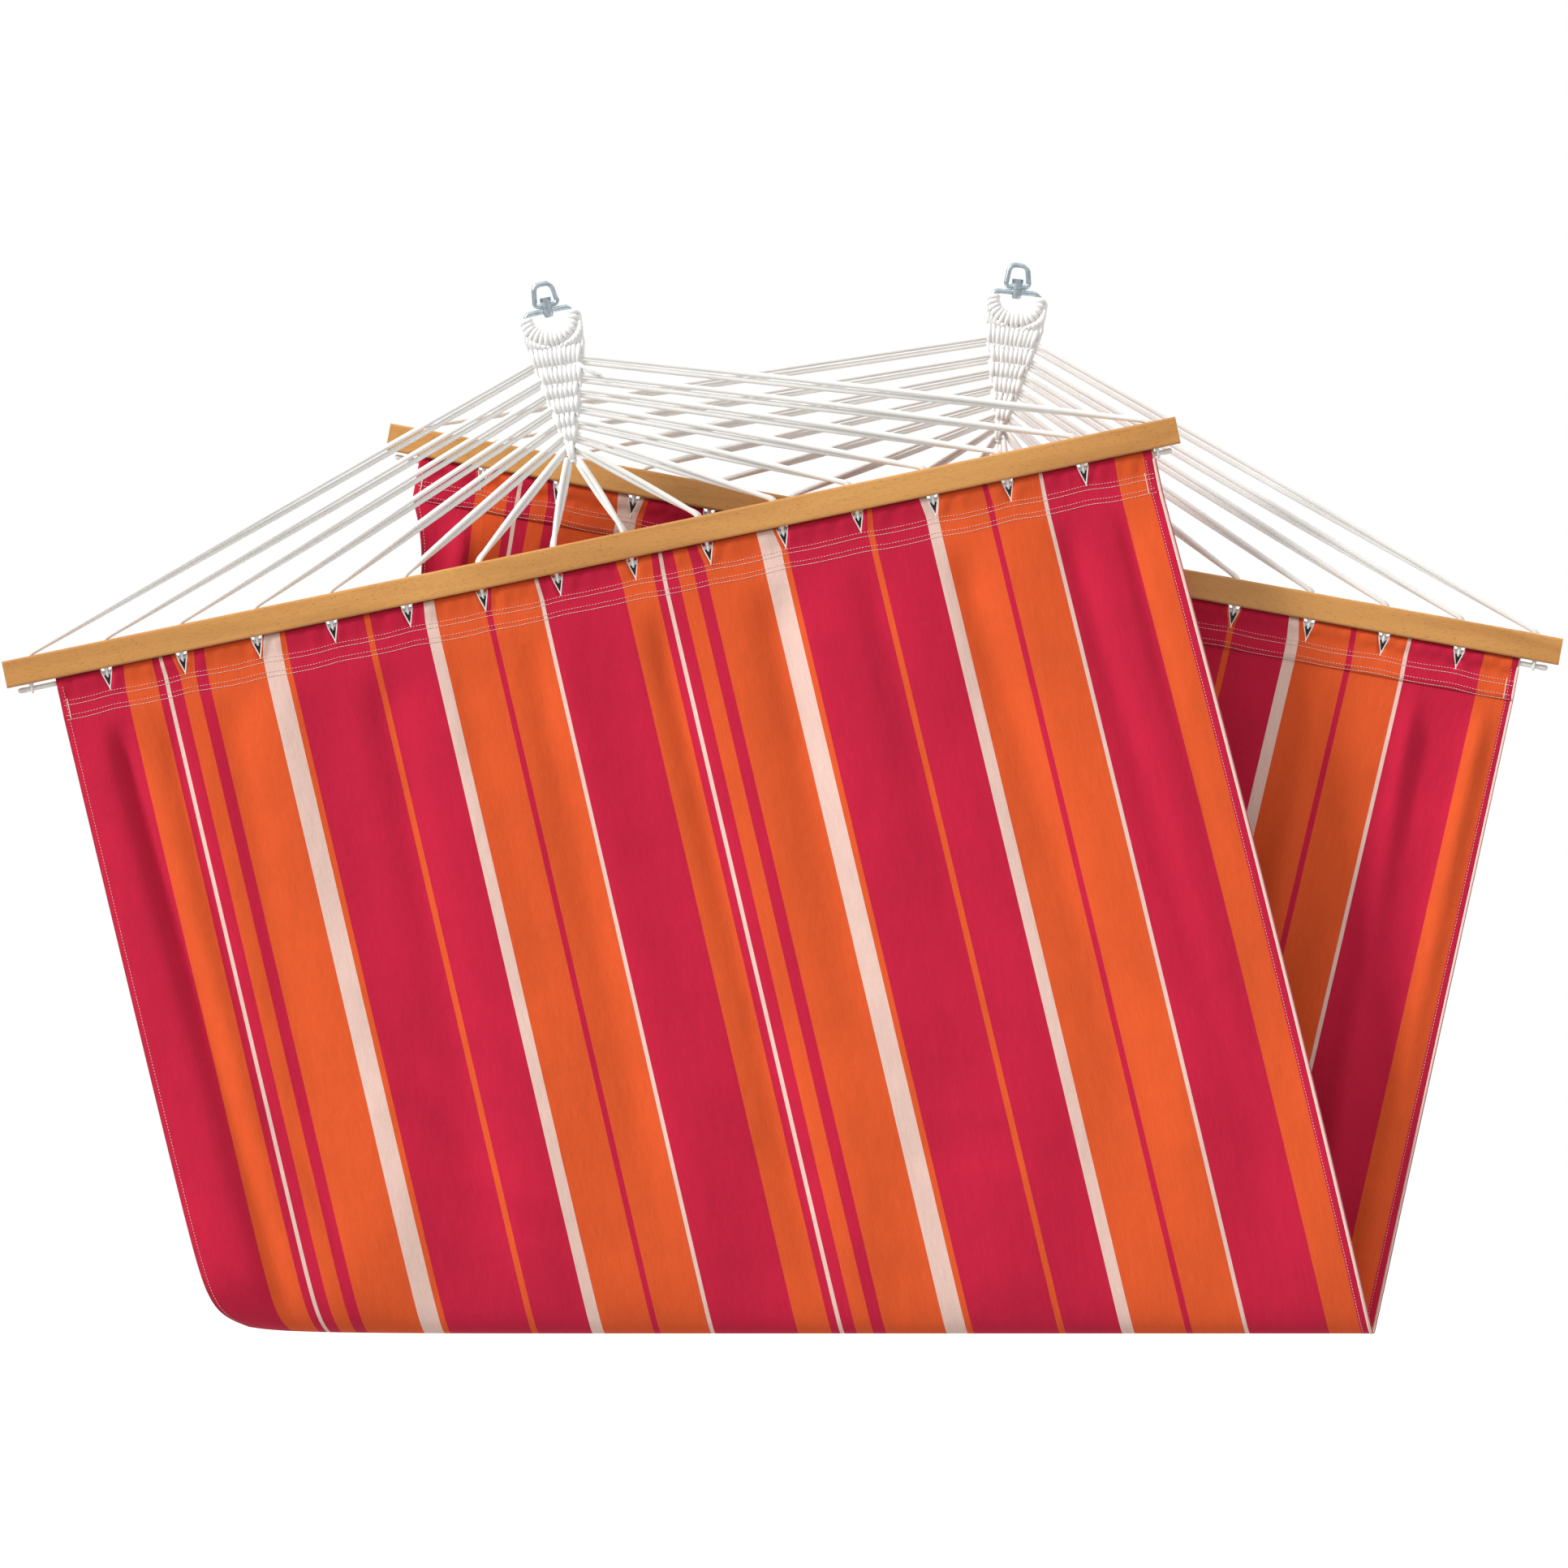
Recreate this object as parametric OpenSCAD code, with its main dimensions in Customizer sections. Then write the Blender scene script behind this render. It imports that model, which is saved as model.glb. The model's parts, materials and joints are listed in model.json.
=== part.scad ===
// Fabric hammock with two wooden spreader bars, hung folded in half from its two swivel eyes.
// Origin: the point inside the top of the front swivel eye where the hook bears.
// +X runs along the bars, +Y runs from the front half to the rear half, +Z is up. Millimetres.

/* [Spreader bars] */
// Length of each bar
bar_len = 1500; // [1480:10:1600]
// Height of the bar's broad face
bar_height = 34; // [30:1:40]
// Thickness of the bar, front to back
bar_depth = 24; // [22:1:30]
// Radius of the bar's long edges
bar_edge_r = 3; // [2:0.5:5]
// Distance from one rope hole to the next
hole_pitch = 96; // [92:1:98]
// Diameter of a rope hole
hole_d = 15; // [14.5:0.5:16]

/* [Ropes] */
// Diameter of the braided rope
rope_d = 6.5; // [5.5:0.5:6.5]
// Diameter of the cord in the hem
hem_cord_d = 6; // [5:0.5:6]
// Thickness of a rope where it is squeezed round the ring
hitch_d = 4.8; // [4:0.2:4.8]

/* [Swivels] */
// Thickness of the eye's round bar
eye_wire_d = 6.4; // [5:0.2:7]
// Thickness of the ring's round bar
ring_wire_d = 6.8; // [6:0.2:6.8]
// Diameter of the swivel pin
pin_d = 6; // [5:0.5:7]
// Diameter of the bosses that the pin passes through
boss_d = 13; // [12:0.5:15]

/* [Bed] */
// Thickness of the bed's cloth solid
cloth_t = 1.5; // [1:0.5:3]
// Distance from the front half's plane to the rear half's plane
half_gap = 100; // [90:5:140]
// Height of the fold, from the hook
fold_z = -1312; // [-1400:4:-1250]

/* [Hang] */
// Tilt of the front bar, positive where its right end is the higher
front_bar_tilt = 11.8; // [8:0.1:14]
// Tilt of the rear bar
rear_bar_tilt = -10.4; // [-14:0.1:-8]
// Tilt of the front swivel's axis
front_swivel_tilt = 12; // [8:1:14]
// Tilt of the rear swivel's axis
rear_swivel_tilt = -5; // [-8:1:-2]

/* [Hidden] */
$fn = 48;
HOLES = 16;
ROWS = HOLES / 2;
// Gap all round between soft parts of different bodies
GAP = 0.3;
// Gap round the pin where it turns in the ring, and where it is riveted into the eye
RUNNING_FIT = 0.07;
RIVETED_FIT = 0.02;
// Gap between the rivet head and the ring's boss
rivet_gap = 0.1;
bend_step = 0.15;
bend_lap = 0.5;

// Places in the hanging plane are [x, z] pairs.
front_hook = [0, 0];
rear_hook = [598, 27];
front_tip = [37, -213];
rear_tip = [572, -186];
front_bar_at = [61, -333];
rear_bar_at = [542, -321];

// Lower corners of the bed, on the fold, and where its edges meet the hems, along each bar
fold_left = -410;
fold_right = 1039;
front_hem_span = [-684, 707];
rear_hem_span = [-706, 698];

// Swivel, measured down its axis from the point where the hook bears
eye_half_w = 14.8;
eye_base = 24;
eye_taper = 4;
eye_corner_r = 5;
eye_top_r = 9;
eye_boss = [20, 27.5];
ring_boss = [27.9, 34.4];
ring_strap = 31;
ring_half_w = 28.8;
ring_base = 63.4;
ring_arc_r = 25;
ring_shoulder_r = 6.5;
head_h = 5.5;
head_d = 14;
rivet_h = 4.6;
rivet_d = 12.5;
rivet_tip_d = 9.5;
strap_from = 4;
clew_hinge = 78.8;
hitch_from = 5;
hitch_to = 80;
hitch_step = 15;
hitch_gap = 0.1;

// Clew: its half width grows up from the tip, and its rows' ropes leave at these heights
clew_tip_half_w = 7;
clew_flare = 0.2;
clew_t = 12.6;
clew_roll_r = 6.5;
row_heights = [120, 98, 80, 61, 43, 26, 13, 0];
tip_rope_start = 18;
row_rope_start = 3.4;

// Rope loop and hem, measured down from the middle of the bar; loop_t is the rope's thickness where
// it is squeezed round the hem cord
strand_y = rope_d / 2 + 0.35;
knuckle_d = rope_d + 0.5;
rope_rise = 6;
cord_under_bar = 6.5;
cord_drop = bar_height / 2 + cord_under_bar;
loop_t = 5;
loop_r = hem_cord_d / 2 + GAP + loop_t / 2;
hem_over_cord = 4;
hem_under_cord = 18.5;
hem_top = cord_drop - hem_over_cord;
hem_base = cord_drop + hem_under_cord;
hem_t = 9;
hem_web = 9;
hem_bore = hem_cord_d + 0.4;
slit_w = rope_d + 8;
cord_half_len = 738;
knot_d = 11;

// Flat stretches of each half of the bed between these places on its profile, from the fold up:
// [height over the fold, distance from the middle plane]
STRETCHES = ["lower", "middle", "upper"];
bed_closing = 12;
bed_profile = [[0, GAP], [150, half_gap / 2 - bed_closing], [500, half_gap / 2], [1300, half_gap / 2]];

function pad(k) = k < 10 ? str("0", k) : str(k);
function loop_name(end, k) = str(end, "_rope_loop_", pad(k));
function bed_name(end, piece) = str("bed_", end, "_", piece);
END_PARTS = ["eye", "swivel_pin", "ring", "ring_hitches", "clew", "spreader_bar", "hem_cord"];

// Turns an [x, z] vector anticlockwise, as seen from the front
function turned(v, tilt) = [v[0] * cos(tilt) - v[1] * sin(tilt), v[0] * sin(tilt) + v[1] * cos(tilt)];
function unit(v) = v / norm(v);
function lift(v, y) = [v[0], y, v[1]];
function hole_at(k) = (k - (HOLES + 1) / 2) * hole_pitch;
// The row of the clew that feeds hole k: the top row feeds the outermost holes
function row_of(k) = k <= ROWS ? k - 1 : HOLES - k;
function bed_color(way) = way < 0 ? "crimson" : "orangered";
function clew_half_w(height) = clew_tip_half_w + clew_flare * height;
// A swivel's clew hinge, and the clew's own tilt from there to its tip
function clew_top(hook, swivel_tilt) = hook + turned([0, -clew_hinge], swivel_tilt);
function clew_tilt(top, tip) = atan2(tip[0] - top[0], top[1] - tip[1]);

// ---- Shapes that repeat ----

module at_plane(at, y, tilt)
{
    translate([at[0], y, at[1]])
        rotate([0, -tilt, 0])
            children();
}

module rod(from, to, d)
{
    v = to - from;
    translate(from)
        rotate([0, acos(v[2] / norm(v)), atan2(v[1], v[0])])
            cylinder(h = norm(v), d = d);
}

// Quarter or part turn of a round bar at corner p, between the directions back and ahead
module bend(p, back, ahead, r, d)
{
    half = acos(back * ahead) / 2;
    centre = p + unit(back + ahead) * r / sin(half);
    x = unit(p + back * r / tan(half) - centre);
    y = -back;
    z = cross(x, y);
    multmatrix([[x[0], y[0], z[0], centre[0]], [x[1], y[1], z[1], centre[1]], [x[2], y[2], z[2], centre[2]]])
        rotate_extrude(angle = 180 - 2 * half)
            translate([r, 0])
                circle(d = d);
}

// Round bar of diameter d through points p, with bend radius r[i] at point i. The straights are
// drawn down by bend_step from the bends, and run a little way into them.
module bent_rod(p, r, d)
{
    last = len(p) - 1;
    ways = [for (i = [0 : last - 1]) unit(p[i + 1] - p[i])];
    cuts = [for (i = [0 : last]) i == 0 || i == last ? 0 : r[i] * tan(acos(ways[i - 1] * ways[i]) / 2) - bend_lap];
    for (i = [0 : last - 1])
        rod(p[i] + ways[i] * cuts[i], p[i + 1] - ways[i] * cuts[i + 1], d - bend_step);
    for (i = [1 : last - 1])
        bend(p[i], -ways[i - 1], ways[i], r[i], d);
}

// ---- Swivel ----

module eye()
{
    points = [
        [-strap_from, 0, -eye_base],
        [-eye_half_w, 0, -eye_base],
        [-eye_half_w + eye_taper, 0, eye_wire_d / 2],
        [eye_half_w - eye_taper, 0, eye_wire_d / 2],
        [eye_half_w, 0, -eye_base],
        [strap_from, 0, -eye_base]
    ];
    color("lightsteelblue")
        difference()
        {
            union()
            {
                bent_rod(points, [0, eye_corner_r, eye_top_r, eye_top_r, eye_corner_r, 0], eye_wire_d);
                translate([0, 0, -eye_boss[1]])
                    cylinder(h = eye_boss[1] - eye_boss[0], d = boss_d);
            }
            translate([0, 0, -eye_boss[1] - 1])
                cylinder(h = eye_boss[1] - eye_boss[0] + 2, d = pin_d + 2 * RIVETED_FIT);
        }
}

module swivel_pin()
{
    color("silver")
    {
        translate([0, 0, -eye_boss[0]])
            cylinder(h = head_h, d = head_d, $fn = 6);
        translate([0, 0, -ring_boss[1] - rivet_gap])
            cylinder(h = ring_boss[1] + rivet_gap - eye_boss[0], d = pin_d);
        translate([0, 0, -ring_boss[1] - rivet_gap - rivet_h])
            cylinder(h = rivet_h, d1 = rivet_tip_d, d2 = rivet_d);
    }
}

module ring()
{
    points = [
        [-strap_from, 0, -ring_strap],
        [-ring_half_w, 0, -ring_strap],
        [-ring_half_w, 0, -ring_base],
        [ring_half_w, 0, -ring_base],
        [ring_half_w, 0, -ring_strap],
        [strap_from, 0, -ring_strap]
    ];
    color("lightsteelblue")
        difference()
        {
            union()
            {
                bent_rod(points, [0, ring_shoulder_r, ring_arc_r, ring_arc_r, ring_shoulder_r, 0], ring_wire_d);
                translate([0, 0, -ring_boss[1]])
                    cylinder(h = ring_boss[1] - ring_boss[0], d = boss_d);
            }
            translate([0, 0, -ring_boss[1] - 1])
                cylinder(h = ring_boss[1] - ring_boss[0] + 2, d = pin_d + 2 * RUNNING_FIT);
        }
}

module hitch()
{
    rotate_extrude()
        translate([ring_wire_d / 2 + hitch_gap + hitch_d / 2, 0])
            circle(d = hitch_d);
}

// The clew's ropes where they go round the ring
module ring_hitches()
{
    arc_x = ring_half_w - ring_arc_r;
    color("whitesmoke")
    {
        for (side = [-1, 1], a = [hitch_from : hitch_step : hitch_to])
            translate([side * arc_x, 0, -ring_base + ring_arc_r])
                rotate([0, side * a, 0])
                    translate([side * ring_arc_r, 0, 0])
                        hitch();
        translate([0, 0, -ring_base])
            rotate([0, 90, 0])
                hitch();
    }
}

// ---- Net ----

module clew(top, tip)
{
    height = norm(top - tip);
    half_w = clew_half_w(height);
    color("white")
        at_plane(tip, 0, clew_tilt(top, tip))
        {
            rotate([90, 0, 0])
                linear_extrude(height = clew_t, center = true)
                    polygon([[-clew_tip_half_w, 0], [clew_tip_half_w, 0], [half_w, height], [-half_w, height]]);
            translate([-half_w, 0, height])
                rotate([0, 90, 0])
                    cylinder(h = 2 * half_w, r = clew_roll_r);
        }
}

function bar_section(w, h, r) = [
    for (q = [0 : 3], a = [0 : 30 : 90])
        let (sx = q == 0 || q == 3 ? 1 : -1, sy = q < 2 ? 1 : -1)
            [sx * (w / 2 - r) + r * cos(90 * q + a), sy * (h / 2 - r) + r * sin(90 * q + a)]
];

module spreader_bar()
{
    color("burlywood")
        difference()
        {
            rotate([90, 0, 90])
                linear_extrude(height = bar_len, center = true)
                    polygon(bar_section(bar_depth, bar_height, bar_edge_r));
            for (k = [1 : HOLES])
                translate([hole_at(k), 0, -bar_height / 2 - 1])
                    cylinder(h = bar_height + 2, d = hole_d);
        }
}

// The part of a rope that goes down through the bar and round the hem cord
module rope_end(with_knuckle)
{
    for (y = [-strand_y, strand_y])
    {
        translate([0, y, -cord_drop + loop_r])
            cylinder(h = cord_drop - loop_r + bar_height / 2 + rope_rise, d = rope_d);
        if (with_knuckle)
            translate([0, y, bar_height / 2 + rope_rise])
                sphere(d = knuckle_d);
    }
    translate([0, 0, -cord_drop])
        rotate([0, 90, 0])
            difference()
            {
                cylinder(h = rope_d, r = loop_r + loop_t / 2, center = true);
                cylinder(h = rope_d + 1, r = loop_r - loop_t / 2, center = true);
            }
}

// One rope: down from the clew, through hole k, round the hem cord and back up beside itself
module rope_loop(k, top, tip, bar_at, bar_tilt)
{
    tilt = clew_tilt(top, tip);
    side = k <= ROWS ? -1 : 1;
    row = row_of(k);
    height = row_heights[row];
    is_tip = row == ROWS - 1;
    exit = tip + turned([is_tip ? 0 : side * clew_half_w(height), height], tilt);
    mouth = bar_at + turned([hole_at(k), bar_height / 2 + rope_rise], bar_tilt);
    start = exit + unit(mouth - exit) * (is_tip ? tip_rope_start : row_rope_start);
    color("whitesmoke")
    {
        for (y = [-strand_y, strand_y])
            rod(lift(start, y), lift(mouth, y), is_tip ? rope_d - bend_step : rope_d);
        at_plane(bar_at, 0, bar_tilt)
            translate([hole_at(k), 0, 0])
                rotate([0, 0, side < 0 ? 0 : 180])
                    rope_end(!is_tip);
    }
}

module hem_cord()
{
    color("whitesmoke")
        translate([0, 0, -cord_drop])
        {
            rotate([0, 90, 0])
                cylinder(h = 2 * cord_half_len, d = hem_cord_d, center = true);
            for (side = [-1, 1])
                translate([side * cord_half_len, 0, 0])
                    sphere(d = knot_d);
        }
}

// ---- Bed ----

// Hem along a bar: a tunnel for the hem cord, open at each rope loop
module bed_hem(way, span)
{
    color(bed_color(way))
        difference()
        {
            translate([span[0], -hem_t / 2, -hem_base])
                cube([span[1] - span[0], hem_t, hem_base - hem_top]);
            translate([span[0] - 1, 0, -cord_drop])
                rotate([0, 90, 0])
                    cylinder(h = span[1] - span[0] + 2, d = hem_bore);
            for (k = [1 : HOLES])
                translate([hole_at(k) - slit_w / 2, -hem_t, -hem_base + hem_web])
                    cube([slit_w, 2 * hem_t, hem_base]);
        }
}

// Cloth between places i and i + 1 of the profile; way is -1 for the front half and 1 for the rear
module bed_stretch(way, i, bar_at, bar_tilt, span)
{
    corners = [
        [fold_left, fold_z],
        [fold_right, fold_z],
        bar_at + turned([span[1], -hem_base], bar_tilt),
        bar_at + turned([span[0], -hem_base], bar_tilt)
    ];
    profile = [
        for (q = [[i, 0], [i + 1, 0], [i + 1, cloth_t], [i, cloth_t]])
            [half_gap / 2 + way * (bed_profile[q[0]][1] + q[1]), fold_z + bed_profile[q[0]][0]]
    ];
    color(bed_color(way))
        intersection()
        {
            translate([0, half_gap, 0])
                rotate([90, 0, 0])
                    linear_extrude(height = 3 * half_gap, center = true)
                        polygon(corners);
            rotate([90, 0, 90])
                linear_extrude(height = 4 * bar_len, center = true)
                    polygon(profile);
        }
}

// ---- Assembly ----

front_top = clew_top(front_hook, front_swivel_tilt);
rear_top = clew_top(rear_hook, rear_swivel_tilt);

module front_swivel() { at_plane(front_hook, 0, front_swivel_tilt) children(); }
module rear_swivel() { at_plane(rear_hook, half_gap, rear_swivel_tilt) children(); }
module front_bar_frame() { at_plane(front_bar_at, 0, front_bar_tilt) children(); }
module rear_bar_frame() { at_plane(rear_bar_at, half_gap, rear_bar_tilt) children(); }
module behind() { translate([0, half_gap, 0]) children(); }

front_swivel() eye();  // front_eye
front_swivel() swivel_pin();  // front_swivel_pin
front_swivel() ring();  // front_ring
front_swivel() ring_hitches();  // front_ring_hitches
clew(front_top, front_tip);  // front_clew
front_bar_frame() spreader_bar();  // front_spreader_bar
front_bar_frame() hem_cord();  // front_hem_cord
front_bar_frame() bed_hem(-1, front_hem_span);  // bed_front_hem
rear_swivel() eye();  // rear_eye
rear_swivel() swivel_pin();  // rear_swivel_pin
rear_swivel() ring();  // rear_ring
rear_swivel() ring_hitches();  // rear_ring_hitches
behind() clew(rear_top, rear_tip);  // rear_clew
rear_bar_frame() spreader_bar();  // rear_spreader_bar
rear_bar_frame() hem_cord();  // rear_hem_cord
rear_bar_frame() bed_hem(1, rear_hem_span);  // bed_rear_hem
for (i = [0 : len(STRETCHES) - 1])
{
    bed_stretch(-1, i, front_bar_at, front_bar_tilt, front_hem_span);
    bed_stretch(1, i, rear_bar_at, rear_bar_tilt, rear_hem_span);
}
for (k = [1 : HOLES])
    rope_loop(k, front_top, front_tip, front_bar_at, front_bar_tilt);
for (k = [1 : HOLES])
    behind() rope_loop(k, rear_top, rear_tip, rear_bar_at, rear_bar_tilt);
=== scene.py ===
"""Looks of the striped spreader-bar hammock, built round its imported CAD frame.

It hangs folded in half from its two swivel eyes. Metres; +X to the right, +Y away from the
camera, +Z up. Each end, "front" or "rear", has a flat frame of its own along its bar.
"""

import json

import bmesh
import bpy
import numpy as np
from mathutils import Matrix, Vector


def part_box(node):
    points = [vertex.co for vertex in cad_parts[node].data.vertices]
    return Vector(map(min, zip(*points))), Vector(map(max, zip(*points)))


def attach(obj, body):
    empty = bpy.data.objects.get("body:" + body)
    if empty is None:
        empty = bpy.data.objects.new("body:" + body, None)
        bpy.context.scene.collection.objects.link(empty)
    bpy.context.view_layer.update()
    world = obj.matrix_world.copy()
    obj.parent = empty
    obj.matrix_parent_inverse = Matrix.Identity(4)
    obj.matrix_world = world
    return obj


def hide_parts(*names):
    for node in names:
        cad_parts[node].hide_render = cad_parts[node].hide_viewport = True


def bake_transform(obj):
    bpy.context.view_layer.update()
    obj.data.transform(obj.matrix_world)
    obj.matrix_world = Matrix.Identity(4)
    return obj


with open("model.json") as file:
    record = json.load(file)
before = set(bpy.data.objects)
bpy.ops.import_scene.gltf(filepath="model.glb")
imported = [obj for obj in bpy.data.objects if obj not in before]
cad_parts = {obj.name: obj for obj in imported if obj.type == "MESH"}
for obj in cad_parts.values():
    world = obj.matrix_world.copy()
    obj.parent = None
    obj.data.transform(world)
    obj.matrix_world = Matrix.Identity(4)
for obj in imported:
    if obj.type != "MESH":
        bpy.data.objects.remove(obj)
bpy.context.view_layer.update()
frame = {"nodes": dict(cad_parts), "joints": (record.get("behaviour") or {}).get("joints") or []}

MM = 0.001
HOLES = 16
HOLE_PITCH = 96 * MM
BAR_HEIGHT = 34 * MM
ROPE_R = 3.25 * MM
CORD_R = 3 * MM
WAY = {"front": -1, "rear": 1}
ENDS = list(WAY)

# Clew tips, and the heights over the tip at which each row's ropes leave
TIP = {"front": (0.037, 0, -0.213), "rear": (0.572, 0.1, -0.186)}
ROW_HEIGHTS = np.array([120, 98, 80, 61, 43, 26, 13, 0]) * MM

# Cloth: six places across it when flat, from its left edge, with where they are along each bar
# and along the fold
CLOTH_T = 1.2 * MM
FLAT_PLACES = (0, 0.0845, 0.628, 1.271, 1.41, 1.424)
HEM_PLACES = {
    "front": (-0.6885, -0.606, -0.070, 0.573, 0.6995, 0.7155),
    "rear": (-0.706, -0.630, -0.083, 0.562, 0.691, 0.702),
}
FOLD_PLACES = (-0.410, -0.329, 0.217, 0.888, 1.027, 1.0425)
FLAT_WIDTH = FLAT_PLACES[-1]
FOLD_Z = -1.3122
MIDDLE_Y = 0.05
HALF_GAP = 0.05075
# Depths under the middle of the bar
HEM_STITCHES = np.array([46, 51.5, 64, 69.5]) * MM
SLIT_END = 43.5 * MM
HEM_END = 72 * MM
SLIT_HALF = 8 * MM
# The hem's tunnel is a flattened round, its top against the bar's underside, and its gathers stay
# within a reach of the cord's axis, so that it can turn under the bar
TUNNEL_HALF, TUNNEL_RISE = 3.75 * MM, 5.8 * MM
GATHER_REACH = 5.2 * MM
# The slits' piping, and how far it sinks into the tunnel's top
LIP_R, LIP_SINK = 0.95 * MM, 0.5 * MM
ACROSS = np.array([1.0, 0, 0])


# ---- Vectors and flat frames ----


def unit(v):
    v = np.asarray(v, float)
    return v / np.maximum(np.linalg.norm(v, axis=-1, keepdims=True), 1e-12)


def smooth(t):
    t = np.clip(t, 0, 1)
    return t * t * (3 - 2 * t)


class Flat:
    """A flat frame in a hanging plane: a runs to the right, d down, y away from the camera."""

    def __init__(self, at, down):
        self.at, self.down = np.array(at, float), unit(down)
        self.right = np.array([-self.down[2], 0, self.down[0]])

    def point(self, a, y, d):
        a, y, d = np.broadcast_arrays(a, y, d)
        return (
            self.at
            + a[..., None] * self.right
            + d[..., None] * self.down
            + y[..., None] * np.array([0, 1.0, 0])
        )


JOINTS = {j["name"]: j for j in frame["joints"]}


def joint_at(name):
    return np.array(JOINTS[name]["pos_m"], float)


def bar_frame(end):
    low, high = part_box(f"{end}_spreader_bar")
    middle = (np.array(low) + np.array(high)) / 2
    return Flat(middle, joint_at(f"{end}_hem_turn") - middle)


BAR = {end: bar_frame(end) for end in ENDS}
CORD_DROP = np.linalg.norm(joint_at("front_hem_turn") - BAR["front"].at)
SWIVEL = {e: Flat(joint_at(f"{e}_swivel"), JOINTS[f"{e}_swivel"]["axis"]) for e in ENDS}
CLEW = {e: Flat(TIP[e], np.array(TIP[e]) - joint_at(f"{e}_clew_flex")) for e in ENDS}


def hole_at(k):
    return (k - (HOLES + 1) / 2) * HOLE_PITCH


# ---- Mesh building ----


class Shape:
    """Collects the faces of many parts for one mesh."""

    def __init__(self):
        self.points, self.faces, self.uvs, self.slots, self.count = [], [], [], [], 0

    def add(self, points, faces, uvs, slot=0):
        self.points.append(points)
        self.faces.append(faces + self.count)
        self.uvs.append(uvs)
        self.slots.append(np.full(len(faces), slot))
        self.count += len(points)

    def make(self, name, *materials):
        points = np.concatenate(self.points)
        corners = np.concatenate([f.ravel() for f in self.faces])
        sizes = np.concatenate([np.full(len(f), f.shape[1]) for f in self.faces])
        mesh = bpy.data.meshes.new(name)
        mesh.vertices.add(len(points))
        mesh.vertices.foreach_set("co", points.astype(np.float32).ravel())
        mesh.loops.add(len(corners))
        mesh.loops.foreach_set("vertex_index", corners.astype(np.int32))
        mesh.polygons.add(len(sizes))
        starts = np.concatenate([[0], np.cumsum(sizes)[:-1]])
        mesh.polygons.foreach_set("loop_start", starts.astype(np.int32))
        mesh.polygons.foreach_set("material_index", np.concatenate(self.slots).astype(np.int32))
        mesh.polygons.foreach_set("use_smooth", np.ones(len(sizes), bool))
        flat = np.concatenate([u.reshape(-1, 2) for u in self.uvs])
        mesh.uv_layers.new(name="Along").data.foreach_set("uv", flat.astype(np.float32).ravel())
        for material in materials:
            mesh.materials.append(material)
        mesh.update(calc_edges=True)
        mesh.validate()
        obj = bpy.data.objects.new(name, mesh)
        bpy.context.scene.collection.objects.link(obj)
        return obj


def frames_along(path, first=None):
    """Two unit directions across the path at each of its points, with no twist between them."""
    ahead = unit(np.gradient(path, axis=0))
    side = np.array([0, 1.0, 0]) if first is None else np.asarray(first, float)
    if abs(side @ ahead[0]) > 0.9:
        side = np.array([1.0, 0, 0])
    sides = []
    for t in ahead:
        side = unit(side - (side @ t) * t)
        sides.append(side)
    sides = np.array(sides)
    return sides, np.cross(ahead, sides)


def tube(shape, path, radius, sides=10, slot=0, flatten=1.0, first=None, tip=0.6):
    """Adds a round tube along path, with domed ends. radius may differ at each point, and
    flatten is its thickness along the second direction across it over that along the first."""
    path = np.asarray(path, float)
    radius = np.broadcast_to(radius, len(path)).astype(float)
    across, over = frames_along(path, first)
    ahead = unit(np.gradient(path, axis=0))
    for i, sign in ((0, -1), (-1, 1)):
        end = path[i] + sign * ahead[i] * radius[i] * tip
        place = 0 if i == 0 else len(path)
        path, radius = np.insert(path, place, end, 0), np.insert(radius, place, radius[i] * 0.55)
        across, over = np.insert(across, place, across[i], 0), np.insert(over, place, over[i], 0)
        ahead = np.insert(ahead, place, ahead[i], 0)
    turn = np.arange(sides) / sides * 2 * np.pi
    ring = np.cos(turn)[None, :, None] * across[:, None] + (
        flatten * np.sin(turn)[None, :, None] * over[:, None]
    )
    points = (path[:, None] + radius[:, None, None] * ring).reshape(-1, 3)
    n = len(path)
    i, j = np.meshgrid(np.arange(n - 1), np.arange(sides), indexing="ij")
    k = (j + 1) % sides
    faces = np.stack([i * sides + j, i * sides + k, (i + 1) * sides + k, (i + 1) * sides + j], -1)
    far = np.concatenate([[0], np.cumsum(np.linalg.norm(np.diff(path, axis=0), axis=1))])
    u0, u1 = j / sides, (j + 1) / sides
    uvs = np.stack([u0, far[i], u1, far[i], u1, far[i + 1], u0, far[i + 1]], -1)
    shape.add(points, faces.reshape(-1, 4)[:, ::-1], uvs.reshape(-1, 4, 2)[:, ::-1], slot)
    cap = np.arange(sides)
    flat_uv = np.stack([cap / sides, np.zeros(sides)], -1)[None]
    shape.add(points[:sides], cap[None], flat_uv, slot)
    shape.add(points[-sides:], cap[None, ::-1], flat_uv + [0, far[-1]], slot)


def rounded(points, reach, step=0.02):
    """points as a polyline with its corners turned into curves that start reach away from them."""
    points = [np.asarray(p, float) for p in points]
    out = [points[0]]
    for before, at, after in zip(points, points[1:], points[2:]):
        a = at + unit(before - at) * min(reach, np.linalg.norm(before - at) / 2)
        b = at + unit(after - at) * min(reach, np.linalg.norm(after - at) / 2)
        out += [(1 - t) ** 2 * a + 2 * t * (1 - t) * at + t * t * b for t in (0, 0.25, 0.5, 0.75, 1)]
    out.append(points[-1])
    dense = [out[0]]
    for p, q in zip(out, out[1:]):
        n = max(1, int(np.linalg.norm(q - p) / step))
        dense += [p + (q - p) * i / n for i in range(1, n + 1)]
    keep = [dense[0]]
    for p in dense[1:]:
        if np.linalg.norm(p - keep[-1]) > 1e-5:
            keep.append(p)
    return np.array(keep)


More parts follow.
